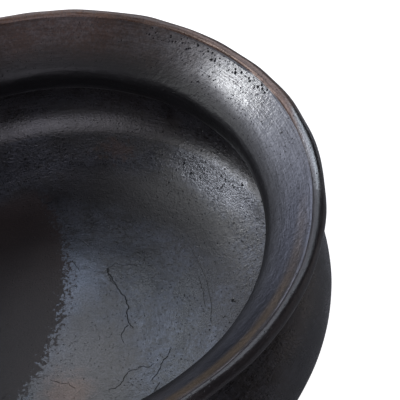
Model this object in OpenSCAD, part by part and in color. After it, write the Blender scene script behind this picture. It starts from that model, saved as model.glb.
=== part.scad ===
// Squat black clay cooking pot with a flared rim, built up from a pressed base dish and six rolls of clay.
//
// One line, the mid-line of the wall, is drawn from the middle of the floor out round the belly, in to the
// neck and out again along the flare. Each piece of clay is a length of that wall, turned about the Z axis.
// Where two pieces meet, the join slopes through the wall, because each roll is pressed down inside the one
// below it. The lip roll sits in a rounded groove along the edge of the flare.
//
// Frame: origin on the ground at the pot's axis, +Z up. Millimetres.

/* [Pot] */
// Outside diameter of the lip
rim_d = 300; // [292:1:304]
// Outside diameter of the belly, at its widest
belly_d = 302; // [296:1:308]
// Inside diameter of the neck, at its narrowest
neck_d = 238; // [236:1:242]
// Height from the ground to the top of the lip
pot_h = 116; // [115:0.5:121]
// Height of the belly's widest ring above the ground
belly_h = 51; // [48:0.5:52]
// Slope of the flare, in degrees above the level
flare_slope = 41.5; // [38:0.5:44]
// Diameter of the flat that the pot stands on
foot_d = 138; // [124:1:150]

/* [Wall] */
// Thickness of the floor
floor_t = 9; // [8:0.25:10]
// Thickness of the wall at the belly
belly_t = 8; // [7:0.25:9]
// Thickness of the wall from the neck up to the lip
rim_t = 7; // [6.5:0.25:7.5]

/* [Bends of the mid-line] */
// Radius of the bend from the floor up into the lower wall
dish_r = 88; // [75:1:95]
// Radius of the bend below the belly's widest ring
under_belly_r = 27; // [20:1:34]
// Radius of the bend above the belly's widest ring
over_belly_r = 28; // [22:1:30]
// Radius of the bend at the bottom and at the top of the neck
neck_bend_r = 6.5; // [5.5:0.25:8]
// Height of the straight stretch of the neck, between its two bends
neck_straight = 2; // [1:0.5:4]

/* [Clay pieces] */
// Radius of the pressed base dish, measured along the wall
dish_reach = 106; // [98:1:112]
// Length of wall in the roll at the belly
belly_reach = 26; // [22:1:28]
// Length of wall in the roll at the shoulder
shoulder_reach = 21; // [19:1:24]
// Length of wall in the roll that leads up to the neck's narrowest place
neck_reach = 21; // [19:1:24]
// Length of wall that each sloping join takes up
join_slope = 9; // [6:0.5:11]
// Length of wall that the lip roll takes up, below its round top
lip_reach = 1; // [0.5:0.25:2]
// Rounding of the lip's two corners
lip_round = 3.2; // [2.4:0.1:3.2]

/* [Hidden] */

// The clay is smoked black all through; the flare and the lip keep a brown tinge
clay_black = [0.11, 0.11, 0.12];
clay_brown = [0.17, 0.14, 0.13];

// Steps in each bend of the mid-line, in the lip's groove and in its corners, and facets round the pot
bend_steps = 9;
groove_steps = 10;
corner_steps = 8;
$fn = 180;

// ---- The mid-line of the wall ----
// A station is [r, z, a]: a place on the mid-line, and the angle of the direction that points out of the pot.
function polar(c, r, a) = [c[0] + r * cos(a), c[1] + r * sin(a)];
function heading(p, q) = atan2(q[1] - p[1], q[0] - p[0]);
function gap(p, q) = norm([q[0] - p[0], q[1] - p[1]]);

// Stations on a bend from the outward angle a0 to a1. Its radius is negative where its centre is outside the pot
function bend(c, r, a0, a1) = [
    for (i = [0 : bend_steps])
        let (a = a0 + (a1 - a0) * i / bend_steps, p = polar(c, r, a))
            [p[0], p[1], a]
];

// The edge is where the flare's mid-line ends, half a wall short of the lip's flat end
flare_a = flare_slope - 90;
corner_in = rim_t / 2 - lip_round;
edge_in = lip_round + corner_in * (cos(flare_a) - sin(flare_a));
edge = [rim_d / 2 - edge_in, pot_h - edge_in, flare_a];

// Centres of the bends
floor_z = floor_t / 2;
belly_mid_r = belly_d / 2 - belly_t / 2;
neck_c_r = neck_d / 2 + rim_t / 2 + neck_bend_r;
neck_high_z = edge[1] + ((edge[0] - neck_c_r) * cos(flare_a) + neck_bend_r) / sin(flare_a);
dish_c = [foot_d / 2, floor_z + dish_r];
under_c = [belly_mid_r - under_belly_r, belly_h];
over_c = [belly_mid_r - over_belly_r, belly_h];
neck_high_c = [neck_c_r, neck_high_z];
neck_low_c = [neck_c_r, neck_high_z - neck_straight];

// The lower wall lies along the outer tangent of two bends, and the shoulder along the cross tangent of two
wall_a = heading(dish_c, under_c) - acos((dish_r - under_belly_r) / gap(dish_c, under_c));
shoulder_a = heading(over_c, neck_low_c) - acos((over_belly_r + neck_bend_r) / gap(over_c, neck_low_c));

stations = concat(
    [[0, floor_z, -90]],
    bend(dish_c, dish_r, -90, wall_a),
    bend(under_c, under_belly_r, wall_a, 0),
    bend(over_c, over_belly_r, 0, shoulder_a),
    bend(neck_low_c, -neck_bend_r, shoulder_a, 0),
    bend(neck_high_c, -neck_bend_r, 0, flare_a),
    [edge]
);
last = len(stations) - 1;

// Distance along the mid-line from the middle of the floor to each station
function travel(i) = i == 0 ? 0 : travel(i - 1) + gap(stations[i - 1], stations[i]);
travels = [for (i = [0 : last]) travel(i)];

// The foot's edge, the belly's widest ring, the bottom and the narrowest place of the neck and the flare's
// edge, as such distances
foot_s = travels[1];
belly_s = travels[2 * (bend_steps + 1)];
neck_s = travels[3 * (bend_steps + 1) + 1];
narrow_s = travels[4 * (bend_steps + 1)] + neck_straight / 2;
edge_s = travels[last];

// The station at a distance s along the mid-line
function before(s) = max([for (i = [0 : last - 1]) if (travels[i] <= s) i]);
function at(s) =
    let (i = before(s), step = travels[i + 1] - travels[i], k = step > 0 ? (s - travels[i]) / step : 0)
        stations[i] * (1 - k) + stations[i + 1] * k;

// The wall thins evenly from the foot to the belly and from there to the neck
function thickness(s) = lookup(s, [[foot_s, floor_t], [belly_s, belly_t], [neck_s, rim_t]]);

// A place in the wall at a distance s, with side 1 for the outside face and -1 for the inside
function face(s, side) =
    let (p = at(s))
        polar(p, side * thickness(s) / 2, p[2]);

// One face of the wall from s0 to s1, with a point at each station between that isn't at an end
tiny = 0.05;
function face_run(s0, s1, side) = concat(
    [face(s0, side)],
    [for (i = [0 : last]) if (travels[i] > s0 + tiny && travels[i] < s1 - tiny) face(travels[i], side)],
    [face(s1, side)]
);
function turned_round(list) = [for (i = [len(list) - 1 : -1 : 0]) list[i]];

// ---- Where the pieces meet, as distances along the mid-line ----
lip_s = edge_s - lip_reach;
joins = [
    dish_reach,
    narrow_s - neck_reach - shoulder_reach - belly_reach,
    narrow_s - neck_reach - shoulder_reach,
    narrow_s - neck_reach,
    narrow_s,
];

// The profile of a length of wall between two sloping joins
function wall_profile(s0, s1) = concat(
    face_run(s0 + join_slope / 2, s1 + join_slope / 2, 1),
    turned_round(face_run(s0 - join_slope / 2, s1 - join_slope / 2, -1))
);

// ---- The lip ----
// The groove is an arc from the flare's outside face to its inside face that dips into the flare
groove_half = 55;
groove_r = rim_t / 2 / sin(groove_half);
groove_c = polar(at(lip_s), groove_r * cos(groove_half), flare_slope);
groove = [
    for (i = [0 : groove_steps])
        polar(groove_c, groove_r, flare_slope + 180 + groove_half * (1 - 2 * i / groove_steps))
];

// A rounded corner at the lip's flat end, from the face on that side round to the end
function lip_corner(side) =
    let (c = polar(polar(edge, side * corner_in, flare_a), corner_in, flare_slope))
        [for (i = [0 : corner_steps]) polar(c, lip_round, flare_slope - side * 90 * (1 - i / corner_steps))];

// ---- One module per piece ----
// The dish that is pressed over a plate: the floor and the start of the wall
module base_dish() {
    color(clay_black)
        rotate_extrude()
            polygon(concat(
                [[0, 0]],
                face_run(foot_s, joins[0] + join_slope / 2, 1),
                turned_round(face_run(foot_s, joins[0] - join_slope / 2, -1)),
                [[0, floor_t]]
            ));
}

// The first roll, which carries the dish's curve up towards the belly
module lower_wall_coil() {
    color(clay_black)
        rotate_extrude() polygon(wall_profile(joins[0], joins[1]));
}

// The roll that is pushed out to the pot's widest ring
module belly_coil() {
    color(clay_black)
        rotate_extrude() polygon(wall_profile(joins[1], joins[2]));
}

// The roll that is drawn in from the belly towards the neck
module shoulder_coil() {
    color(clay_black)
        rotate_extrude() polygon(wall_profile(joins[2], joins[3]));
}

// The roll that leads up to the pot's narrowest place
module neck_coil() {
    color(clay_black)
        rotate_extrude() polygon(wall_profile(joins[3], joins[4]));
}

// The roll that is bent outwards from the neck as the flare, with a groove along its edge for the lip
module rim_coil() {
    color(clay_brown)
        rotate_extrude()
            polygon(concat(
                face_run(joins[4] + join_slope / 2, lip_s, 1),
                [for (i = [1 : groove_steps - 1]) groove[i]],
                turned_round(face_run(joins[4] - join_slope / 2, lip_s, -1))
            ));
}

// The thin roll along the edge of the flare
module lip_coil() {
    color(clay_brown)
        rotate_extrude()
            polygon(concat(groove, lip_corner(-1), turned_round(lip_corner(1))));
}

base_dish();
lower_wall_coil();
belly_coil();
shoulder_coil();
neck_coil();
rim_coil();
lip_coil();
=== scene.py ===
"""A squat black clay cooking pot with a flared rim, built up from a pressed dish and six rolls of clay.

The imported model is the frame. Each of its seven pieces of clay is replaced by one of the same size that
carries the marks of the hand: a rim that isn't quite round, the facets and strokes of burnishing, pits where
grit came out, and hairline cracks in the floor. Metres throughout, with the origin on the ground at the
pot's axis.
"""
import logging
from collections.abc import Sequence
from dataclasses import dataclass, field
from enum import Enum
from math import acos, atan2, ceil, cos, hypot, pi, radians, sin
from typing import NamedTuple

import bpy
import numpy as np
from mathutils import Matrix, Vector


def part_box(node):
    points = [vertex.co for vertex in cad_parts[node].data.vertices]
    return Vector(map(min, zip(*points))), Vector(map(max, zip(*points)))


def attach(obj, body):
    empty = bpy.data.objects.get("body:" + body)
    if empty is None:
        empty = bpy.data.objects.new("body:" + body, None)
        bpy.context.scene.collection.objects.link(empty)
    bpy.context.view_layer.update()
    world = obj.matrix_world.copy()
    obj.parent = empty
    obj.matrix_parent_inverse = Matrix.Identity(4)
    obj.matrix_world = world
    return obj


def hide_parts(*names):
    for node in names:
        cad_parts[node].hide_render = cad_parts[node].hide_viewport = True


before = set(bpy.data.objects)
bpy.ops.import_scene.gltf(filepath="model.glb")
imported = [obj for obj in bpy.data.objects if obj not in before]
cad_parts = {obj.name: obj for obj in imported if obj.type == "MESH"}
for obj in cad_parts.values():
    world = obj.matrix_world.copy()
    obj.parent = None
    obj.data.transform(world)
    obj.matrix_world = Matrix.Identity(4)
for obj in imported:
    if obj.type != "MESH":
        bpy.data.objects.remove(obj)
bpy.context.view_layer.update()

MM = 0.001
SMOOTH_ANGLE = radians(38)
MERGE_REACH = 1e-6
Colour = tuple[float, float, float]
Socket = bpy.types.NodeSocket
log = logging.getLogger("pot")


class Face(Enum):
    """The two faces of the wall, with 1 for the face that looks out of the pot and -1 for the inside one."""

    OUTSIDE = 1
    INSIDE = -1


class OutlinePoint(NamedTuple):
    """A point on a piece's outline, with its distance along the wall and the angle that its surface faces."""

    r: float
    z: float
    along: float
    facing: float


def polar(centre: tuple[float, float], radius: float, angle: float) -> tuple[float, float]:
    """The point at a radius and an angle from a centre."""
    return centre[0] + radius * cos(angle), centre[1] + radius * sin(angle)


def around(places: np.ndarray, middle: np.ndarray, reach: float) -> np.ndarray:
    """The row numbers of the places that are no further than reach from a middle, along each axis."""
    rows = np.flatnonzero(np.abs(places[:, 0] - middle[0]) < reach)
    rows = rows[np.abs(places[rows, 1] - middle[1]) < reach]
    return rows[np.abs(places[rows, 2] - middle[2]) < reach]


def rows_of(items: bpy.types.bpy_prop_collection, name: str) -> np.ndarray:
    """A vector of each of a mesh's vertices or faces, as rows of x, y and z."""
    rows = np.empty(len(items) * 3)
    items.foreach_get(name, rows)
    return rows.reshape(-1, 3)


def smooth_step(x: np.ndarray) -> np.ndarray:
    """Runs evenly from 0 at x = 0 to 1 at x = 1, and stays there on either side."""
    x = np.clip(x, 0.0, 1.0)
    return x * x * (3.0 - 2.0 * x)


def mm(*lengths: float) -> tuple[float, ...]:
    """Lengths given in millimetres, in metres."""
    return tuple(length * MM for length in lengths)


def towards(azimuth: float, elevation: float) -> Vector:
    """The direction at an azimuth from +X and a height above the level, both in degrees."""
    azimuth, elevation = radians(azimuth), radians(elevation)
    return Vector((cos(azimuth) * cos(elevation), sin(azimuth) * cos(elevation), sin(elevation)))


def surface_ways(places: np.ndarray, facing: np.ndarray) -> tuple[np.ndarray, np.ndarray]:
    """Finds two directions at each place of a surface.

    Args:
        places: rows of x, y and z.
        facing: the angle that the surface faces at each place, in the plane through the axis.

    Returns:
        The level direction away from the axis, as x and y, and the direction that the surface faces.
    """
    level = places[:, :2] / np.maximum(np.linalg.norm(places[:, :2], axis=1, keepdims=True), 1e-9)
    return level, np.column_stack((level * np.cos(facing)[:, None], np.sin(facing)))


# ---- The line that the wall follows ---------------------------------------------------------------------
@dataclass(frozen=True)
class WallSizes:
    """The sizes that draw the wall's mid-line. The rim, the belly and the height come from the frame.

    Lengths are in metres and the slope is in degrees above the level.
    """

    rim_r: float
    belly_r: float
    height: float
    neck_r: float = 119 * MM
    belly_z: float = 51 * MM
    foot_r: float = 69 * MM
    flare_slope: float = 41.5
    floor_t: float = 9 * MM
    belly_t: float = 8 * MM
    rim_t: float = 7 * MM
    dish_bend: float = 88 * MM
    under_belly_bend: float = 27 * MM
    over_belly_bend: float = 28 * MM
    neck_bend: float = 6.5 * MM
    neck_straight: float = 2 * MM
    lip_round: float = 3.2 * MM
    lip_reach: float = 1 * MM
    dish_reach: float = 106 * MM
    belly_reach: float = 26 * MM
    shoulder_reach: float = 21 * MM
    neck_reach: float = 21 * MM
    join_slope: float = 9 * MM

    @classmethod
    def from_frame(cls) -> "WallSizes":
        """The sizes with the rim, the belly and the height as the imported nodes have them."""
        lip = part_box("lip_coil")[1]
        return cls(rim_r=lip.x, belly_r=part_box("belly_coil")[1].x, height=lip.z)


class WallLine:
    """The mid-line of the wall, from the middle of the floor round the belly and up to the flare's edge."""

    ARC_STEPS = 48

    def __init__(self, sizes: WallSizes) -> None:
        """Draws the line.

        Args:
            sizes: the sizes that it follows.
        """
        self.sizes = sizes
        self.flare_angle = radians(sizes.flare_slope - 90)
        self.corner_in = sizes.rim_t / 2 - sizes.lip_round
        edge_in = sizes.lip_round + self.corner_in * (cos(self.flare_angle) - sin(self.flare_angle))
        self.edge = (sizes.rim_r - edge_in, sizes.height - edge_in)
        runs = self._runs()
        stations = [(0.0, sizes.floor_t / 2, -pi / 2)]
        ends = []
        for centre, radius, start, end in runs:
            for angle in np.linspace(start, end, self.ARC_STEPS + 1):
                stations.append((*polar(centre, radius, angle), angle))
            ends.append(len(stations) - 1)
        stations.append((*self.edge, self.flare_angle))
        self._r, self._z, self._facing = (np.array(column) for column in zip(*stations))
        steps = np.hypot(np.diff(self._r), np.diff(self._z))
        self._along = np.concatenate(([0.0], np.cumsum(steps)))
        self.foot = self._along[1]
        self.belly = self._along[ends[1]]
        self.neck_low = self._along[ends[2] + 1]
        self.narrow = self._along[ends[3]] + sizes.neck_straight / 2
        self.end = self._along[-1]
        self.lip = self.end - sizes.lip_reach
        shoulder = self.narrow - sizes.neck_reach
        belly_top = shoulder - sizes.shoulder_reach
        self.joins = (sizes.dish_reach, belly_top - sizes.belly_reach, belly_top, shoulder, self.narrow)

    def _runs(self) -> list[tuple[tuple[float, float], float, float, float]]:
        """The bends of the line as (centre, radius, first angle, last angle); straights join them."""
        sizes = self.sizes
        belly_mid = sizes.belly_r - sizes.belly_t / 2
        neck_mid = sizes.neck_r + sizes.rim_t / 2 + sizes.neck_bend
        rise = ((self.edge[0] - neck_mid) * cos(self.flare_angle) + sizes.neck_bend) / sin(self.flare_angle)
        neck_high = (neck_mid, self.edge[1] + rise)
        neck_low = (neck_mid, neck_high[1] - sizes.neck_straight)
        dish = (sizes.foot_r, sizes.floor_t / 2 + sizes.dish_bend)
        under = (belly_mid - sizes.under_belly_bend, sizes.belly_z)
        over = (belly_mid - sizes.over_belly_bend, sizes.belly_z)
        wall = self._tangent(dish, under, sizes.dish_bend - sizes.under_belly_bend)
        shoulder = self._tangent(over, neck_low, sizes.over_belly_bend + sizes.neck_bend)
        return [
            (dish, sizes.dish_bend, -pi / 2, wall),
            (under, sizes.under_belly_bend, wall, 0.0),
            (over, sizes.over_belly_bend, 0.0, shoulder),
            (neck_low, -sizes.neck_bend, shoulder, 0.0),
            (neck_high, -sizes.neck_bend, 0.0, self.flare_angle),
        ]

    @staticmethod
    def _tangent(first: tuple[float, float], second: tuple[float, float], reach: float) -> float:
        """The outward angle of the straight that touches two bends, whose radii differ or add up to reach."""
        across, up = second[0] - first[0], second[1] - first[1]
        return atan2(up, across) - acos(reach / hypot(across, up))

    def thickness(self, along: float) -> float:
        """The wall's thickness: even across the foot, then thinning to the belly and on to the neck."""
        sizes = self.sizes
        places = (self.foot, self.belly, self.neck_low)
        return float(np.interp(along, places, (sizes.floor_t, sizes.belly_t, sizes.rim_t)))

    def middle(self, along: float) -> tuple[float, float, float]:
        """The radius, the height and the outward angle of the mid-line at a distance along it."""
        return tuple(float(np.interp(along, self._along, row)) for row in (self._r, self._z, self._facing))

    def point(self, along: float, face: Face) -> OutlinePoint:
        """The point on one face of the wall at a distance along it."""
        r, z, angle = self.middle(along)
        r, z = polar((r, z), face.value * self.thickness(along) / 2, angle)
        return OutlinePoint(max(r, 0.0), z, along, angle if face is Face.OUTSIDE else angle + pi)

    def run(self, start: float, end: float, face: Face, step: float, turn: float = 5.0) -> list[OutlinePoint]:
        """Points on one face of the wall, close together where the wall bends and at both ends.

        Args:
            start: the first distance along the wall.
            end: the last one; the run goes backwards where it is less.
            face: the face that the points lie on.
            step: the longest step between two points.
            turn: the most degrees that the wall turns in one step.

        Returns:
            The points, from start to end.
        """
        low, high = sorted((start, end))
        fine = np.linspace(low, high, 400)
        bend = np.abs(np.gradient(np.interp(fine, self._along, self._facing), fine))
        cost = 1 / step + bend / radians(turn)
        total = np.concatenate(([0.0], np.cumsum((cost[1:] + cost[:-1]) / 2 * np.diff(fine))))
        count = max(2, ceil(total[-1]))
        stops = np.interp(np.linspace(0, total[-1], count + 1), total, fine)
        near = 0.25 * MM
        stops = np.concatenate(([low, low + near], stops[1:-1], [high - near, high]))
        if start > end:
            stops = stops[::-1]
        return [self.point(float(along), face) for along in stops]


# ---- Marks of the hand ----------------------------------------------------------------------------------
class Swell:
    """A smooth random unevenness over space, made of plane waves in random directions."""

    def __init__(self, seed: int, wavelength: float, stretch: float = 1.0, waves: int = 28) -> None:
        """Draws the waves.

        Args:
            seed: the start of the random draws.
            wavelength: the middle wavelength, in metres.
            stretch: how much longer the swell is round the pot than across, on wall coordinates.
            waves: how many waves are added up.
        """
        draws = np.random.default_rng(seed)
        heading = draws.normal(size=(waves, 3))
        heading /= np.linalg.norm(heading, axis=1, keepdims=True)
        pace = 2 * pi / (wavelength * draws.uniform(0.65, 1.6, size=(waves, 1)))
        self._pace = heading * pace / np.array([stretch, stretch, 1.0])
        self._start = draws.uniform(0, 2 * pi, size=waves)
        self._size = (2 / waves) ** 0.5

    def at(self, places: np.ndarray) -> np.ndarray:
        """The unevenness at each row of places, mostly between -1.5 and 1.5."""
        return np.sin(places @ self._pace.T + self._start).sum(axis=1) * self._size


@dataclass(frozen=True)
class Crack:
    """A hairline crack in the floor. Its route is a few points (x, y) in millimetres."""

    # How far off a place is still looked at, and the height that parts the floor from the underside
    NEAR = 2 * MM
    UNDERSIDE = 4 * MM

    route: tuple[tuple[float, float], ...]
    width: float = 0.30 * MM
    depth: float = 0.45 * MM
    stray: float = 0.13

    def path(self) -> np.ndarray:
        """The route with each leg broken up, so that the crack strays to and fro between the points."""
        draws = np.random.default_rng(len(self.route) + abs(int(self.route[0][0] * 10)))
        points = np.array(self.route) * MM
        for _ in range(3):
            legs = np.diff(points, axis=0)
            aside = np.column_stack((-legs[:, 1], legs[:, 0])) * draws.uniform(-1, 1, (len(legs), 1))
            halves = points[:-1] + legs / 2 + aside * self.stray
            points = np.insert(points, range(1, len(points)), halves, axis=0)
        return points

    def distance(self, places: np.ndarray) -> tuple[np.ndarray, np.ndarray]:
        """Finds the places near the crack, seen from above.

        Args:
            places: rows of x, y and z.

        Returns:
            The row numbers of the places by the crack, and how far each of them is from it.
        """
        points = self.path()
        low, high = points.min(axis=0) - self.NEAR, points.max(axis=0) + self.NEAR
        inside = ((places[:, :2] > low) & (places[:, :2] < high)).all(axis=1)
        rows = np.flatnonzero(inside & (places[:, 2] > self.UNDERSIDE))
        spots = places[rows, :2]
        nearest = np.full(len(spots), np.inf)
        for start, end in zip(points[:-1], points[1:]):
            leg = end - start
            share = np.clip((spots - start) @ leg / (leg @ leg), 0, 1)
            nearest = np.minimum(nearest, np.linalg.norm(spots - start - share[:, None] * leg, axis=1))
        return rows, nearest


@dataclass(frozen=True)
class PitField:
    """A stretch of wall with pits in it, where grains of grit came out under the burnishing stone.

    The azimuths are in degrees from +X, and the lengths in metres along the wall.
    """

    face: Face
    azimuths: tuple[float, float]
    stretch: tuple[float, float]
    count: int
    radii: tuple[float, float]
    seed: int

    def pits(self, wall: WallLine) -> list[tuple[np.ndarray, float]]:
        """The middle and the radius of each pit."""
        draws = np.random.default_rng(self.seed)
        found = []
        for _ in range(self.count):
            azimuth = radians(draws.uniform(*self.azimuths))
            spot = wall.point(draws.uniform(*self.stretch), self.face)
            radius = draws.uniform(*self.radii) * draws.uniform(0.6, 1.0)
            found.append((np.array([spot.r * cos(azimuth), spot.r * sin(azimuth), spot.z]), radius))
        return found


@dataclass(frozen=True)
class HandMarks:
    """The unevenness that hand building and burnishing leave on the whole pot.

    Sizes are in metres and azimuths in degrees from +X. The rim is oval, has three lobes, is pushed out to
    one side and waves, and all of this dies away towards the floor.
    """

    oval: float = 0.12 * MM
    oval_azimuth: float = 0.0
    lobes: float = 0.08 * MM
    lobes_azimuth: float = 30.0
    push: float = 0.08 * MM
    push_azimuth: float = -5.0
    wave: float = 0.20 * MM
    facet: float = 0.05 * MM
    stroke: float = 0.012 * MM
    crease: float = 0.22 * MM
    crease_width: float = 0.55 * MM
    lip_swell: float = 0.20 * MM
    lip_reach: float = 2 * MM
    foot_flat: float = 0.5 * MM
    foot_fade: float = 4 * MM
    wave_circle: float = 120 * MM
    wave_across: float = 0.3
    faces_apart: float = 20 * MM
    lip_apart: float = 4 * MM

    def _sway(self, places: np.ndarray, on_rim: np.ndarray) -> np.ndarray:
        """How far the rim lies outside a true circle, at the azimuth of each place."""
        azimuth = np.arctan2(places[:, 1], places[:, 0])
        sway = self.oval * np.cos(2 * (azimuth - radians(self.oval_azimuth)))
        sway += self.lobes * np.cos(3 * (azimuth - radians(self.lobes_azimuth)))
        sway += self.push * (1 + np.cos(azimuth - radians(self.push_azimuth)))
        return sway + self.wave * Swell(11, 0.07).at(on_rim)

    def _lip(self, on_wall: np.ndarray, outward: np.ndarray, wall: WallLine) -> np.ndarray:
        """How far the surface is raised by the lip's swells and lowered by the crease below them."""
        past = on_wall[:, 2] - wall.lip
        swell = Swell(15, 0.020, stretch=1.3).at(on_wall + outward * self.lip_apart) * self.lip_swell
        crease = self.crease * (1 + 0.5 * Swell(16, 0.02).at(on_wall))
        crease *= np.exp(-((past / self.crease_width) ** 2))
        return swell * np.clip(past / self.lip_reach, 0, 1) - crease

    def shifts(self, places: np.ndarray, along: np.ndarray, facing: np.ndarray, wall: WallLine) -> np.ndarray:
        """How far each place of the surface moves.

        Args:
            places: rows of x, y and z.
            along: each place's distance along the wall.
            facing: the angle that the surface faces at each place, in the plane through the axis.
            wall: the wall's mid-line.

        Returns:
            One shift for each place, in the same order.
        """
        level, outward = surface_ways(places, facing)
        on_wall = np.column_stack((places[:, :2], along))
        on_rim = np.column_stack((level * self.wave_circle, along * self.wave_across))
        rise = smooth_step(along / wall.end)
        sway = self._sway(places, on_rim)
        lift = self.wave * Swell(12, 0.09).at(on_rim)
        shift = np.column_stack((level * (sway * rise)[:, None], lift * rise))
        clear = smooth_step((places[:, 2] - self.foot_flat) / self.foot_fade)
        on_faces = on_wall + outward * self.faces_apart
        rubbed = Swell(13, 0.016, stretch=1.8).at(on_faces) * self.facet
        rubbed += Swell(14, 0.005, stretch=4.0, waves=40).at(on_faces) * self.stroke
        lip = self._lip(on_wall, outward, wall)
        return shift * clear[:, None] + outward * (rubbed * clear + lip)[:, None]


CRACKS = (
    # The long crack across the floor, with its branches at both ends
    Crack(((29, 41.5), (30.5, 36), (33.5, 28), (38, 19), (39.5, 12), (38.5, 5.5), (41, -4)), *mm(0.25, 0.5)),
    Crack(((33.5, 28), (30.5, 31.5), (29.5, 38.5), (30, 42), (34, 44.5), (38, 42), (46, 40)), *mm(0.17, 0.3)),
    Crack(((38.5, -1.5), (36, -4), (34, -8), (35, -13)), *mm(0.18, 0.3)),
    # Short ones at the edge of the soot
    Crack(((13, 67), (17, 63), (21, 58.5)), *mm(0.18, 0.3)),
    Crack(((9.5, 50), (11, 47), (13, 43)), *mm(0.17, 0.3)),
    Crack(((-6, -31), (-1, -34), (7, -38.5)), *mm(0.16, 0.3), 0.2),
    # Fine ones on the near side of the floor
    Crack(((60.5, -20.5), (57, -27.5), (53.5, -33.5), (48.5, -40.5)), *mm(0.18, 0.3)),
    Crack(((52.5, -42.5), (49, -48)), *mm(0.16, 0.3)),
    Crack(((49.5, -30), (43, -30.5), (36, -33), (33.5, -37), (31.5, -40.5), (25, -43)), *mm(0.17, 0.3), 0.2),
    # Two scratches that run round the floor where it starts to rise
    Crack(((78, 47), (82.5, 31), (85, 18), (85.5, 4.5), (84, -9)), *mm(0.22, 0.1), 0.03),
    Crack(((80.5, 25), (82, 14), (82, 3)), *mm(0.2, 0.1), 0.03),
)

PITS = (
    PitField(Face.INSIDE, (-1.5, 1.5), mm(97, 101), 3, mm(0.8, 1.2), 21),
    PitField(Face.INSIDE, (18, 62), mm(128, 168), 60, mm(0.35, 0.75), 22),
    PitField(Face.INSIDE, (24, 60), mm(240.5, 246.5), 64, mm(0.3, 0.8), 23),
    PitField(Face.INSIDE, (10, 75), mm(222, 246), 26, mm(0.3, 0.55), 24),
    PitField(Face.INSIDE, (-180, 180), mm(60, 170), 60, mm(0.3, 0.6), 25),
    PitField(Face.INSIDE, (-25, 55), mm(70, 128), 70, mm(0.28, 0.5), 27),
    PitField(Face.OUTSIDE, (-180, 180), mm(120, 205), 40, mm(0.3, 0.6), 26),
)


# How near a crack, in metres, and a pit, in radii and a little more, each round of refining reaches
REFINE_ROUNDS = ((1.3 * MM, 2.2), (0.8 * MM, 1.7), (0.5 * MM, 1.4))
REFINE_MORE = 0.2 * MM
# A pit's reach and depth in radii, and how dark its painted shade is beside a crack's
PIT_REACH = 1.25
PIT_DEPTH = 0.7
PIT_DARK = 0.85


# ---- Finishes -------------------------------------------------------------------------------------------
class Tree:
    """A short way to write a shader tree: each method adds one node and gives its output."""

    def __init__(self, owner: bpy.types.Material | bpy.types.World) -> None:
        """Takes over a tree.

        Args:
            owner: a new material or surround with nodes.
        """
        self.nodes = owner.node_tree.nodes
        self.links = owner.node_tree.links

    def _feed(self, socket: Socket, value: object) -> None:
        """Links a socket to another one, or sets its value."""
        if isinstance(value, bpy.types.NodeSocket):
            self.links.new(value, socket)
        elif value is not None:
            socket.default_value = value

    def node(self, kind: str, inputs: dict[int | str, object], **options: str) -> bpy.types.Node:
        """A new node, with its options set and its inputs linked or set."""
        node = self.nodes.new(kind)
        for name, option in options.items():
            setattr(node, name, option)
        for name, value in inputs.items():
            self._feed(node.inputs[name], value)
        return node

    def coordinates(self) -> Socket:
        """The place on the object, in metres."""
        return self.node("ShaderNodeTexCoord", {}).outputs["Object"]

    def attribute(self, name: str, output: str = "Fac") -> Socket:
        """A value that the mesh carries."""
        return self.node("ShaderNodeAttribute", {}, attribute_name=name).outputs[output]

    def mapped(self, vector: Socket, move: Sequence[float], scale: Sequence[float]) -> Socket:
        """The vector, scaled and then moved."""
        inputs = {"Vector": vector, "Location": move, "Scale": scale}
        return self.node("ShaderNodeMapping", inputs).outputs[0]

    def noise(self, vector: Socket, scale: float, detail: float = 2.0, rough: float = 0.5) -> Socket:
        """Noise between about 0.25 and 0.75, with scale features in a metre."""
        inputs = {"Vector": vector, "Scale": scale, "Detail": detail, "Roughness": rough}
        return self.node("ShaderNodeTexNoise", inputs).outputs["Fac"]

    def cells(self, vector: Socket, scale: float) -> Socket:
        """The distance to the nearest of scattered points, as a share of their spacing."""
        return self.node("ShaderNodeTexVoronoi", {"Vector": vector, "Scale": scale}).outputs["Distance"]

    def sum(self, operation: str, first: object, second: object = None) -> Socket:
        """A Math node."""
        return self.node("ShaderNodeMath", {0: first, 1: second}, operation=operation).outputs[0]

    def vector_sum(self, operation: str, first: object, second: object = None) -> Socket:
        """A Vector Math node that gives a number."""
        return self.node("ShaderNodeVectorMath", {0: first, 1: second}, operation=operation).outputs["Value"]

    def ranged(self, value: Socket, low: float, high: float, start: float = 0.0, end: float = 1.0) -> Socket:
        """The value with low to high spread smoothly over start to end."""
        inputs = {"Value": value, "From Min": low, "From Max": high, "To Min": start, "To Max": end}
        return self.node("ShaderNodeMapRange", inputs, interpolation_type="SMOOTHSTEP").outputs["Result"]

    def colour_mix(self, share: object, first: object, second: object, blend: str = "MIX") -> Socket:
        """Two colours mixed by a share."""
        first, second = ((*part, 1.0) if isinstance(part, tuple) else part for part in (first, second))
        inputs = {0: share, 6: first, 7: second}
        return self.node("ShaderNodeMix", inputs, data_type="RGBA", blend_type=blend).outputs[2]

    def value_mix(self, share: object, first: object, second: object) -> Socket:
        """Two numbers mixed by a share."""
        return self.node("ShaderNodeMix", {0: share, 2: first, 3: second}).outputs[0]

    def bump(self, height: Socket, distance: float, under: Socket | None = None) -> Socket:
        """A bump of a height from 0 to 1 that stands for a distance in metres."""
        inputs = {"Distance": distance, "Height": height, "Normal": under}
        return self.node("ShaderNodeBump", inputs).outputs[0]


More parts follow.
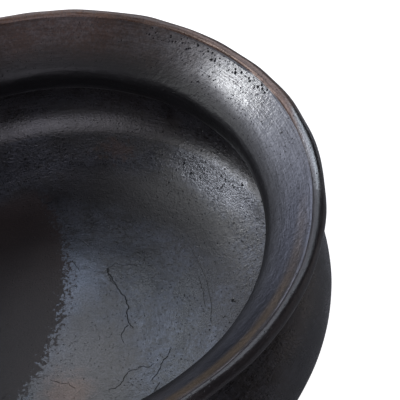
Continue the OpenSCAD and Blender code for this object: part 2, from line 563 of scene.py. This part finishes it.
@dataclass(frozen=True)
class Patch:
    """A patch with its own colour and polish: marks of fire and burnishing, and painted shade, glints and
    reflections.

    Its middle and reach are wall coordinates: x, y and the distance along the wall from the floor's middle.
    Towards top, a distance along the wall, it fades out over a length fade.
    """

    middle: tuple[float, float, float]
    reach: tuple[float, float, float]
    colour: Colour
    roughness: float
    strength: float = 1.0
    metal: float = 0.0
    top: float = 1.0
    fade: float = 12 * MM
    soft: float = 0.12
    ragged: float = 0.12
    grain: float = 90.0

    def mask(self, tree: Tree, wall: Socket, place: Socket) -> Socket:
        """Lays the patch out.

        Args:
            tree: the tree of the finish.
            wall: the wall coordinates.
            place: the place on the object.

        Returns:
            How much of the patch there is, from 0 to its strength.
        """
        scale = [1 / reach for reach in self.reach]
        move = [-middle / reach for middle, reach in zip(self.middle, self.reach)]
        reach = tree.vector_sum("LENGTH", tree.mapped(wall, move, scale))
        tear = tree.sum("SUBTRACT", tree.noise(place, self.grain, 6.0, 0.72), 0.5)
        edge = tree.sum("ADD", reach, tree.sum("MULTIPLY", tear, self.ragged * 4))
        share = tree.ranged(edge, 1 - self.soft / 2, 1 + self.soft / 2, self.strength, 0.0)
        along = tree.node("ShaderNodeSeparateXYZ", {0: wall}).outputs["Z"]
        below = tree.ranged(along, self.top - self.fade, self.top, 1.0, 0.0)
        return tree.sum("MULTIPLY", share, below)


@dataclass(frozen=True)
class BurnishedClay:
    """Smoke-fired clay, rubbed with a stone until it shines."""

    name: str
    body: Colour
    tinge: Colour
    tinge_share: tuple[float, float]
    roughness: tuple[float, float] = (0.26, 0.36)
    ior: float = 1.62
    grain_depth: float = 0.20 * MM
    stroke_depth: float = 0.08 * MM
    pinhole_depth: float = 0.2 * MM
    waver_depth: float = 0.18 * MM
    streaks: float = 0.22
    silver: Colour = (0.12, 0.125, 0.14)
    silver_share: tuple[float, float] = (0.0, 0.25)
    # The near-black painted into the pinholes, the cracks and the pits, as painted shade
    hole: Colour = (0.003, 0.003, 0.003)
    crack: Colour = (0.002, 0.002, 0.002)
    crack_roughness: float = 0.9
    patches: tuple[Patch, ...] = field(default_factory=tuple)

    def material(self) -> bpy.types.Material:
        """Builds the material.

        Returns:
            The material, whose patterns lie on Object coordinates and on the mesh's own wall coordinates.
        """
        material = bpy.data.materials.new(self.name)
        material.use_nodes = True
        tree = Tree(material)
        shader = tree.nodes["Principled BSDF"]
        place = tree.coordinates()
        wall = tree.attribute("wall", "Vector")
        crack = tree.attribute("crack")

        # The body's colour, tinged in clouds, and the mottle of grain and strokes that goes over it
        clouds = tree.noise(place, 16, 4.0, 0.55)
        colour = tree.colour_mix(tree.ranged(clouds, 0.36, 0.64, *self.tinge_share), self.body, self.tinge)
        strokes = tree.noise(tree.mapped(wall, (0, 0, 0), (60, 60, 1300)), 1.0, 3.0, 0.6)
        grain = tree.noise(place, 900, 3.0, 0.62)
        mottle = tree.ranged(clouds, 0.3, 0.7, 0.8, 1.2)
        mottle = tree.sum("MULTIPLY", mottle, tree.ranged(grain, 0.3, 0.7, 0.75, 1.25))
        streaks = tree.ranged(strokes, 0.3, 0.7, 1 - self.streaks, 1 + self.streaks)
        mottle = tree.sum("MULTIPLY", mottle, streaks)

        # The polish, and the silvery blotches of the burnish
        roughness = tree.ranged(tree.noise(place, 60, 5.0, 0.6), 0.32, 0.68, *self.roughness)
        roughness = tree.sum("ADD", roughness, tree.ranged(strokes, 0.3, 0.7, -0.05, 0.05))
        roughness = tree.sum("ADD", roughness, tree.ranged(grain, 0.3, 0.7, -0.06, 0.06))
        blotches = tree.value_mix(0.4, tree.noise(place, 55, 6.0, 0.68), tree.noise(place, 520, 2.0, 0.5))
        metal = tree.ranged(blotches, 0.42, 0.60, *self.silver_share)
        colour = tree.colour_mix(metal, colour, self.silver)

        # The patches, some of them painted shade, glint and reflection, then the pinholes and the cracks as
        # painted shade
        for patch in self.patches:
            share = patch.mask(tree, wall, place)
            colour = tree.colour_mix(share, colour, patch.colour)
            roughness = tree.value_mix(share, roughness, patch.roughness)
            metal = tree.value_mix(share, metal, patch.metal)
        colour = tree.colour_mix(1.0, colour, mottle, "MULTIPLY")
        hole = tree.ranged(tree.cells(place, 420), 0.06, 0.20)
        sparse = tree.ranged(tree.noise(place, 110, 2.0), 0.36, 0.56, 1.0, 0.0)
        hole = tree.sum("MAXIMUM", hole, sparse)
        # Painted shade: the pinholes, the cracks and the pits are darkened towards near-black, and the cracks
        # and pits are rougher too
        colour = tree.colour_mix(tree.ranged(hole, 0.0, 1.0, 0.8, 0.0), colour, self.hole)
        colour = tree.colour_mix(crack, colour, self.crack)
        roughness = tree.value_mix(crack, roughness, self.crack_roughness)

        # The relief that is too fine for the mesh
        waver = tree.noise(tree.mapped(place, (0, 0, 0), (190, 330, 260)), 1.0, 3.0, 0.6)
        normal = tree.bump(waver, self.waver_depth)
        normal = tree.bump(strokes, self.stroke_depth, normal)
        normal = tree.bump(grain, self.grain_depth, normal)
        normal = tree.bump(hole, self.pinhole_depth, normal)
        looks = {"Base Color": colour, "Metallic": metal, "Roughness": roughness, "Normal": normal}
        for name, socket in looks.items():
            tree.links.new(socket, shader.inputs[name])
        shader.inputs["IOR"].default_value = self.ior
        return material


# On the floor
SOOT = Patch(mm(-138, 45, 40), mm(144, 144, 600), (0.022, 0.0140, 0.0125), 0.64,
             top=112 * MM, soft=0.010, ragged=0.085, grain=330.0)
# Painted shade: a darker, rougher ring without the silver between the wall's highlight and the floor, cutting
# the light's reflection short
PAINTED_SHADE_RING = Patch(mm(60, 80, 106), mm(66, 56, 15), (0.009, 0.0085, 0.009), 0.50,
                  strength=0.9, soft=0.9, ragged=0.35, grain=120.0)
BLOOM = Patch(mm(5, 14, 30), mm(20, 62, 90), (0.130, 0.142, 0.168), 0.34,
              strength=0.75, metal=1.0, soft=0.9, ragged=0.45, grain=240.0)
TAN_SCUFF = Patch(mm(15, -26, 40), mm(24, 44, 90), (0.060, 0.047, 0.032), 0.36,
                  strength=0.6, soft=1.1, ragged=0.35, grain=90.0)
WARM_FLECK = Patch(mm(2, -46, 40), mm(13, 17, 60), (0.170, 0.095, 0.055), 0.40,
                   strength=0.45, metal=0.3, soft=1.2, ragged=0.5, grain=120.0)
RED_FLECK = Patch(mm(41, 117, 130), mm(9, 9, 7), (0.090, 0.036, 0.014), 0.45,
                  strength=0.28, soft=0.9, ragged=1.5, grain=260.0)
# On the flare and the neck
FLARE_GREY = Patch(mm(115, -20, 240), mm(76, 129, 24), (0.152, 0.155, 0.167), 0.31,
                   strength=0.9, metal=0.95, top=249 * MM, fade=2.5 * MM, soft=0.8, ragged=0.10)
FLARE_SHINE = Patch(mm(118.5, 67, 238.5), mm(34, 24, 10), (0.120, 0.120, 0.122), 0.215, strength=0.9,
                    metal=1.0, top=248.5 * MM, fade=1.5 * MM, soft=1.1, ragged=0.35, grain=190.0)
FLARE_DUSK = Patch(mm(118, -66, 240), mm(75, 72, 24), (0.082, 0.085, 0.102), 0.33,
                   strength=0.85, metal=0.95, top=249 * MM, fade=2.5 * MM, soft=1.0, ragged=0.12)
# Painted shade: the flare darkens towards the crease where it turns down into the neck
FLARE_FOOT_SHADE = Patch(mm(0, 0, 203), mm(900, 900, 26), (0.010, 0.0062, 0.0045), 0.50,
                   strength=0.9, soft=1.1, ragged=0.05)
NECK_SHADE = Patch(mm(0, 0, 203), mm(900, 900, 22), (0.0075, 0.0075, 0.0085), 0.42,
                   strength=0.94, soft=0.75, ragged=0.06)
# Painted glint: a lighter golden, part-metallic band along the flare's outer edge on the near side
GOLD_GLINT = Patch(mm(93, -116, 241.5), mm(75, 72, 4.6), (0.160, 0.115, 0.072), 0.32,
                  strength=0.80, metal=0.6, soft=1.5, ragged=0.25, grain=70.0)
# On the lip
# Painted shade: the lip is nearly black on its near and right side instead of brown
NEAR_LIP_SHADE = Patch(mm(130, -85, 250), mm(115, 108, 20), (0.018, 0.0165, 0.018), 0.30,
                  strength=0.95, soft=0.7, ragged=0.25, grain=60.0)
LIP_GLEAM = Patch(mm(122, 78, 250), mm(50, 50, 20), (0.200, 0.135, 0.108), 0.28,
                  strength=0.75, metal=0.5, soft=1.0, ragged=0.3, grain=110.0)
LIP_SHINE = Patch(mm(147, 14, 250.3), mm(16, 30, 2.3), (0.24, 0.24, 0.24), 0.2,
                  strength=0.95, metal=1.0, soft=0.8, ragged=0.3, grain=260.0)
# On the wall, outside and inside
BROWN_CLOUD = Patch(mm(-84, -118, 168), mm(70, 52, 34), (0.034, 0.022, 0.016), 0.40,
                    strength=0.75, soft=1.3, ragged=0.35, grain=45.0)
GREY_CLOUD = Patch(mm(-128, 66, 158), mm(32, 58, 30), (0.060, 0.060, 0.066), 0.34,
                   strength=0.6, metal=0.5, soft=1.3, ragged=0.35, grain=50.0)
# Painted reflection: a lighter grey, part-metallic band on the inside wall at the back
WALL_REFLECTION_BAND = Patch(mm(42, 126, 142), mm(42, 24, 15), (0.075, 0.074, 0.068), 0.38,
                 strength=0.6, metal=0.6, soft=1.3, ragged=0.45, grain=150.0)
WALL_SHINE = Patch(mm(102, 80, 133), mm(33, 36, 12), (0.115, 0.118, 0.130), 0.23,
                   strength=0.85, metal=1.0, soft=0.9, ragged=0.3, grain=170.0)

BLACK_WALL = BurnishedClay(
    "black_burnished_clay", (0.0110, 0.0098, 0.0108), (0.0175, 0.0145, 0.0135), (0.0, 0.8),
    patches=(BROWN_CLOUD, GREY_CLOUD, WALL_REFLECTION_BAND, WALL_SHINE, RED_FLECK),
)
BLACK_FLOOR = BurnishedClay(
    "black_floor_clay", (0.011, 0.012, 0.015), (0.015, 0.0145, 0.015), (0.0, 0.8),
    roughness=(0.24, 0.34), streaks=0.05, stroke_depth=0.05 * MM,
    silver=(0.11, 0.118, 0.138), silver_share=(0.0, 0.6),
    patches=(BROWN_CLOUD, GREY_CLOUD, PAINTED_SHADE_RING, WALL_REFLECTION_BAND, WALL_SHINE, RED_FLECK)
    + (BLOOM, TAN_SCUFF, WARM_FLECK, SOOT),
)
BROWN_FLARE = BurnishedClay(
    "brown_black_clay", (0.027, 0.0145, 0.0100), (0.040, 0.0205, 0.0140), (0.1, 0.9),
    roughness=(0.38, 0.48), ior=1.36, grain_depth=0.06 * MM, stroke_depth=0.10 * MM, waver_depth=0.3 * MM,
    patches=(FLARE_FOOT_SHADE, FLARE_GREY, FLARE_DUSK, FLARE_SHINE, NECK_SHADE, GOLD_GLINT),
)
BROWN_LIP = BurnishedClay(
    "brown_lip_clay", (0.070, 0.037, 0.023), (0.105, 0.055, 0.033), (0.1, 0.9),
    roughness=(0.30, 0.40), ior=1.5, patches=(NEAR_LIP_SHADE, LIP_GLEAM, LIP_SHINE),
)


# ---- The pieces of clay ---------------------------------------------------------------------------------
@dataclass
class ClayPiece:
    """One piece of clay: an outline turned about the pot's axis, then shaped by the hand's marks."""

    node: str
    slot: str
    finish: BurnishedClay
    wall: WallLine
    marks: HandMarks
    segments: int = 640
    step: float = 1.35 * MM
    cracks: tuple[Crack, ...] = ()

    def outline(self) -> list[OutlinePoint]:
        """The outline in the plane through the axis, anticlockwise seen from the front."""
        raise NotImplementedError

    def closed(self) -> bool:
        """Whether the outline's last point joins its first one; it doesn't where both lie on the axis."""
        return True

    def make(self) -> bpy.types.Object:
        """Models, shapes and dresses the piece, and ties it to the frame.

        Returns:
            The finished object.
        """
        piece = self._turned()
        self._refine(piece)
        self._shape(piece)
        piece.data.materials.append(self.finish.material())
        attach(piece, "root")
        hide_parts(self.node)
        log.info("%s: %d faces", piece.name, len(piece.data.polygons))
        return piece

    def _turned(self) -> bpy.types.Object:
        """Lays a ring of edges out along the outline and turns it about the axis into a closed solid."""
        points = self.outline()
        bpy.ops.object.select_all(action="DESELECT")
        bpy.ops.mesh.primitive_circle_add(vertices=len(points), radius=self.wall.sizes.rim_r)
        piece = bpy.context.object
        piece.name = piece.data.name = self.node + "_clay"
        mesh = piece.data
        for vertex, point in zip(mesh.vertices, points):
            vertex.co = (point.r, 0.0, point.z)
        # The angles run on without a jump of a whole turn between neighbours
        facing = np.unwrap([point.facing for point in points])
        for name, values in (("along", [point.along for point in points]), ("facing", facing)):
            mesh.attributes.new(name, "FLOAT", "POINT").data.foreach_set("value", values)
        if not self.closed():
            self._open_ring(piece, len(points))
        turn = piece.modifiers.new("turn", "SCREW")
        turn.steps = turn.render_steps = self.segments
        turn.use_merge_vertices = True
        turn.merge_threshold = MERGE_REACH
        bpy.ops.object.modifier_apply(modifier=turn.name)
        bpy.ops.object.mode_set(mode="EDIT")
        bpy.ops.mesh.select_all(action="SELECT")
        bpy.ops.mesh.remove_doubles(threshold=MERGE_REACH)
        bpy.ops.mesh.normals_make_consistent(inside=False)
        bpy.ops.object.mode_set(mode="OBJECT")
        return piece

    @staticmethod
    def _open_ring(piece: bpy.types.Object, count: int) -> None:
        """Deletes the edge between the last and the first point of the ring."""
        for edge in piece.data.edges:
            edge.select = set(edge.vertices) == {0, count - 1}
        for vertex in piece.data.vertices:
            vertex.select = False
        bpy.ops.object.mode_set(mode="EDIT")
        bpy.ops.mesh.select_mode(type="EDGE")
        bpy.ops.mesh.delete(type="EDGE_FACE")
        bpy.ops.mesh.select_mode(type="VERT")
        bpy.ops.object.mode_set(mode="OBJECT")

    def _pits(self) -> list[tuple[np.ndarray, float]]:
        """The pits that lie in this piece's stretch of wall."""
        places = [point.along for point in self.outline()]
        found = []
        for pit_field in PITS:
            if pit_field.stretch[0] < max(places) and pit_field.stretch[1] > min(places):
                found += pit_field.pits(self.wall)
        return found

    def _refine(self, piece: bpy.types.Object) -> None:
        """Subdivides the faces next to each crack and pit, so that they can be cut into the mesh.

        Args:
            piece: the turned solid.
        """
        pits = self._pits()
        for crack_reach, pit_reach in REFINE_ROUNDS:
            mesh = piece.data
            centres = rows_of(mesh.polygons, "center")
            chosen = np.zeros(len(centres), bool)
            for crack in self.cracks:
                rows, near = crack.distance(centres)
                chosen[rows[near < crack_reach]] = True
            for middle, radius in pits:
                reach = radius * pit_reach + REFINE_MORE
                rows = around(centres, middle, reach)
                chosen[rows] |= np.linalg.norm(centres[rows] - middle, axis=1) < reach
            if not chosen.any():
                return
            bpy.ops.object.mode_set(mode="EDIT")
            bpy.ops.mesh.select_mode(type="FACE")
            bpy.ops.mesh.select_all(action="DESELECT")
            bpy.ops.object.mode_set(mode="OBJECT")
            mesh.polygons.foreach_set("select", chosen)
            bpy.ops.object.mode_set(mode="EDIT")
            bpy.ops.mesh.subdivide(number_cuts=1)
            bpy.ops.mesh.select_mode(type="VERT")
            bpy.ops.object.mode_set(mode="OBJECT")

    def _shape(self, piece: bpy.types.Object) -> None:
        """Moves the surface by the hand's marks, cuts the cracks and pits, and shades it smooth.

        Args:
            piece: the refined solid.
        """
        mesh = piece.data
        count = len(mesh.vertices)
        places = rows_of(mesh.vertices, "co")
        along, facing = np.empty(count), np.empty(count)
        mesh.attributes["along"].data.foreach_get("value", along)
        mesh.attributes["facing"].data.foreach_get("value", facing)
        outward = surface_ways(places, facing)[1]
        moved = places + self.marks.shifts(places, along, facing, self.wall)
        # How far each place lies inside a crack or a pit; the finish paints shade there from it
        cut = np.zeros(count)
        for crack in self.cracks:
            rows, near = crack.distance(places)
            depth = np.clip(1 - near / crack.width, 0, 1)
            moved[rows] -= outward[rows] * (depth * crack.depth)[:, None]
            cut[rows] = np.maximum(cut[rows], depth)
        for middle, radius in self._pits():
            rows = around(places, middle, radius * PIT_REACH)
            near = np.linalg.norm(places[rows] - middle, axis=1)
            depth = smooth_step(PIT_REACH - near / radius)
            moved[rows] -= outward[rows] * (depth * radius * PIT_DEPTH)[:, None]
            cut[rows] = np.maximum(cut[rows], depth * PIT_DARK)
        mesh.vertices.foreach_set("co", moved.ravel())
        mesh.attributes.new("crack", "FLOAT", "POINT").data.foreach_set("value", cut)
        on_wall = np.column_stack((places[:, :2], along))
        mesh.attributes.new("wall", "FLOAT_VECTOR", "POINT").data.foreach_set("vector", on_wall.ravel())
        mesh.update()
        bpy.ops.object.select_all(action="DESELECT")
        piece.select_set(True)
        bpy.context.view_layer.objects.active = piece
        bpy.ops.object.shade_smooth_by_angle(angle=SMOOTH_ANGLE)


@dataclass
class BaseDish(ClayPiece):
    """The dish pressed over a plate: the floor and the start of the wall."""

    def closed(self) -> bool:
        """The outline starts and ends on the axis."""
        return False

    def outline(self) -> list[OutlinePoint]:
        """From the middle of the foot out along the underside, over the join and back along the floor."""
        half = self.wall.sizes.join_slope / 2
        join = self.wall.joins[0]
        under = self.wall.run(0.0, join + half, Face.OUTSIDE, self.step * 1.5)
        return under + self.wall.run(join - half, 0.0, Face.INSIDE, self.step)


@dataclass
class WallRoll(ClayPiece):
    """A roll of clay between two sloping joins, the lower one numbered first_join."""

    first_join: int = 0

    def outline(self) -> list[OutlinePoint]:
        """Up the outside and back down the inside; the joins slope between the two."""
        half = self.wall.sizes.join_slope / 2
        low, high = self.wall.joins[self.first_join : self.first_join + 2]
        outside = self.wall.run(low + half, high + half, Face.OUTSIDE, self.step)
        return outside + self.wall.run(high - half, low - half, Face.INSIDE, self.step)


@dataclass
class LipGroove:
    """The rounded groove along the flare's edge that the lip's roll sits in."""

    wall: WallLine
    half_angle: float = radians(55)
    steps: int = 10

    def points(self) -> list[OutlinePoint]:
        """The groove's arc, from the outside face to the inside one."""
        sizes = self.wall.sizes
        slope = radians(sizes.flare_slope)
        radius = sizes.rim_t / 2 / sin(self.half_angle)
        r, z, _ = self.wall.middle(self.wall.lip)
        centre = polar((r, z), radius * cos(self.half_angle), slope)
        points = []
        for i in range(self.steps + 1):
            angle = slope + pi + self.half_angle * (1 - 2 * i / self.steps)
            points.append(OutlinePoint(*polar(centre, radius, angle), self.wall.lip, angle))
        return points


@dataclass
class RimRoll(ClayPiece):
    """The roll that is bent outwards from the neck as the flare, with the lip's groove along its edge."""

    def outline(self) -> list[OutlinePoint]:
        """Up the outside, over the groove and back down the inside."""
        half = self.wall.sizes.join_slope / 2
        join, lip = self.wall.joins[-1], self.wall.lip
        near = lip - 3 * MM
        outside = self.wall.run(join + half, near, Face.OUTSIDE, self.step)
        outside += self.wall.run(near, lip, Face.OUTSIDE, self.step / 3)[1:]
        inside = self.wall.run(lip, near, Face.INSIDE, self.step / 3)
        inside += self.wall.run(near, join - half, Face.INSIDE, self.step)[1:]
        return outside + LipGroove(self.wall).points()[1:-1] + inside


@dataclass
class LipRoll(ClayPiece):
    """The thin roll along the edge of the flare."""

    corner_steps: int = 14

    def _corner(self, face: Face) -> list[OutlinePoint]:
        """The rounded corner on one face, from that face to the lip's end."""
        wall, sizes = self.wall, self.wall.sizes
        slope = radians(sizes.flare_slope)
        centre = polar(polar(wall.edge, face.value * wall.corner_in, wall.flare_angle), wall.corner_in, slope)
        points = []
        for i in range(self.corner_steps + 1):
            share = i / self.corner_steps
            angle = slope - face.value * (1 - share) * pi / 2
            spot = polar(centre, sizes.lip_round, angle)
            points.append(OutlinePoint(*spot, wall.end + share * sizes.rim_t / 2, angle))
        return points

    def outline(self) -> list[OutlinePoint]:
        """Up the outside, round the two corners, down the inside and along the groove."""
        wall = self.wall
        outside = wall.run(wall.lip, wall.end, Face.OUTSIDE, self.step / 3)
        inside = wall.run(wall.end, wall.lip, Face.INSIDE, self.step / 3)
        corners = self._corner(Face.OUTSIDE) + self._corner(Face.INSIDE)[::-1]
        groove = LipGroove(wall).points()[::-1]
        return outside + corners + inside + groove[1:-1]


@dataclass
class Pot:
    """The whole pot, from the dish up to the lip."""

    wall: WallLine
    marks: HandMarks = HandMarks()

    def make(self) -> list[bpy.types.Object]:
        """Makes the seven pieces in the order that a potter does."""
        black = {"slot": "black_clay", "wall": self.wall, "marks": self.marks}
        brown = {**black, "slot": "brown_black_clay"}
        pieces: list[ClayPiece] = [
            BaseDish("base_dish", finish=BLACK_FLOOR, segments=480, cracks=CRACKS, **black),
            WallRoll("lower_wall_coil", finish=BLACK_FLOOR, first_join=0, **black),
            WallRoll("belly_coil", finish=BLACK_WALL, first_join=1, **black),
            WallRoll("shoulder_coil", finish=BLACK_WALL, first_join=2, **black),
            WallRoll("neck_coil", finish=BLACK_WALL, first_join=3, **black),
            RimRoll("rim_coil", finish=BROWN_FLARE, **brown),
            LipRoll("lip_coil", finish=BROWN_LIP, **brown),
        ]
        return [piece.make() for piece in pieces]


# ---- The studio -----------------------------------------------------------------------------------------
@dataclass(frozen=True)
class SoftLight:
    """A soft rectangular light that faces the pot, placed by azimuth from +X and height above the level."""

    name: str
    azimuth: float
    elevation: float
    distance: float
    size: tuple[float, float]
    power: float
    colour: Colour = (1.0, 1.0, 1.0)
    aim_height: float = 80 * MM

    def make(self) -> bpy.types.Object:
        """Adds the light and turns it to the pot."""
        way = towards(self.azimuth, self.elevation)
        aim = Vector((0, 0, self.aim_height))
        bpy.ops.object.light_add(type="AREA", location=aim + way * self.distance)
        light = bpy.context.object
        light.name = self.name
        light.rotation_euler = way.to_track_quat("Z", "Y").to_euler()
        light.data.shape = "RECTANGLE"
        light.data.size, light.data.size_y = self.size
        light.data.energy = self.power
        light.data.color = self.colour
        light.visible_camera = False
        return light


@dataclass(frozen=True)
class Camera:
    """The camera, given by where the middle of the rim lies from it: to the right, down and ahead."""

    rim_offset: tuple[float, float, float] = (-0.08745, 0.0042, 0.69915)
    rim_height: float = 112.4 * MM
    elevation: float = 47.5
    roll: float = -7.9
    lens: float = 126.0
    sensor: float = 36.0

    def make(self) -> bpy.types.Object:
        """Adds the camera and makes it the scene's own."""
        tilt = radians(self.elevation)
        up = Vector((0, -cos(tilt), -sin(tilt)))
        right = Vector((1, 0, 0))
        turn = Matrix.Rotation(radians(self.roll), 3, "Z")
        to_view = Matrix([turn @ axis for axis in (right, up.cross(right), up)])
        place = Vector((0, 0, self.rim_height)) - to_view @ Vector(self.rim_offset)
        bpy.ops.object.camera_add()
        camera = bpy.context.object
        camera.name = "camera"
        axes = [to_view @ Vector(axis) for axis in ((1, 0, 0), (0, -1, 0), (0, 0, -1))]
        camera.matrix_world = Matrix.Translation(place) @ Matrix(axes).transposed().to_4x4()
        camera.data.sensor_width = self.sensor
        camera.data.lens = self.lens
        camera.data.clip_start = 0.01
        bpy.context.scene.camera = camera
        return camera


@dataclass(frozen=True)
class Glow:
    """A soft bright area of the surround, by azimuth from +X and height above the level, in degrees."""

    azimuth: float
    elevation: float
    reach: float
    strength: float
    colour: Colour = (1.0, 1.0, 1.0)


@dataclass(frozen=True)
class Studio:
    """A plain pale floor inside a dim surround with a few soft bright areas."""

    floor_half: float = 6.0
    floor_colour: Colour = (0.42, 0.42, 0.42)
    floor_roughness: float = 0.9
    seen: Colour = (1.0, 1.0, 1.0)
    dim: Colour = (0.022, 0.022, 0.024)
    glows: tuple[Glow, ...] = (
        Glow(120, 36, 45, 1.14, (0.92, 0.97, 1.12)),
        Glow(180, 36, 24, 0.50, (0.98, 0.98, 1.02)),
        Glow(84, 46, 26, 1.70, (0.89, 1.00, 1.13)),
        Glow(144, 6, 45, 0.90, (0.94, 0.97, 1.12)),
        Glow(12, 6, 24, 0.64, (1.06, 0.97, 0.97)),
        Glow(258, 38, 30, 2.30, (0.99, 0.96, 1.10)),
    )
    lights: tuple[SoftLight, ...] = (
        SoftLight("window_light", 166, 37, 1.3, (0.38, 0.36), 5.2, (0.97, 0.99, 1.0)),
    )

    def make(self) -> None:
        """Adds the floor, the surround and the lights."""
        self._floor()
        self._surround()
        for light in self.lights:
            light.make()
        bpy.context.scene.view_settings.view_transform = "Standard"

    def _floor(self) -> None:
        """A large plain floor, which shows as plain white where the camera sees it directly."""
        bpy.ops.object.select_all(action="DESELECT")
        bpy.ops.mesh.primitive_plane_add(size=2 * self.floor_half)
        floor = bpy.context.object
        floor.name = "studio_floor"
        material = bpy.data.materials.new("pale_floor")
        material.use_nodes = True
        tree = Tree(material)
        shader = tree.nodes["Principled BSDF"]
        shader.inputs["Base Color"].default_value = (*self.floor_colour, 1)
        shader.inputs["Roughness"].default_value = self.floor_roughness
        shader.inputs["Emission Color"].default_value = (1, 1, 1, 1)
        seen = tree.node("ShaderNodeLightPath", {}).outputs["Is Camera Ray"]
        tree.links.new(tree.ranged(seen, 0.0, 1.0), shader.inputs["Emission Strength"])
        floor.data.materials.append(material)

    def _surround(self) -> None:
        """Adds up the dim surround and its glows; the camera itself sees plain white behind the floor."""
        world = bpy.data.worlds.new("surround")
        bpy.context.scene.world = world
        world.use_nodes = True
        tree = Tree(world)
        way = tree.node("ShaderNodeTexCoord", {}).outputs["Generated"]
        total: object = self.dim
        for glow in self.glows:
            lean = tree.vector_sum("DOT_PRODUCT", way, towards(glow.azimuth, glow.elevation))
            share = tree.ranged(lean, cos(radians(glow.reach)), 1.0)
            lit = tuple(part * glow.strength for part in glow.colour)
            total = tree.colour_mix(share, total, tree.colour_mix(1.0, total, lit, "ADD"))
        seen = tree.node("ShaderNodeLightPath", {}).outputs["Is Camera Ray"]
        shown = tree.colour_mix(seen, total, self.seen)
        tree.links.new(shown, tree.nodes["Background"].inputs["Color"])


def main() -> None:
    """Makes the camera, the pot and the studio."""
    logging.basicConfig(level=logging.INFO, format="%(name)s: %(message)s")
    Camera().make()
    Pot(WallLine(WallSizes.from_frame())).make()
    Studio().make()


if __name__ == "__main__":
    main()
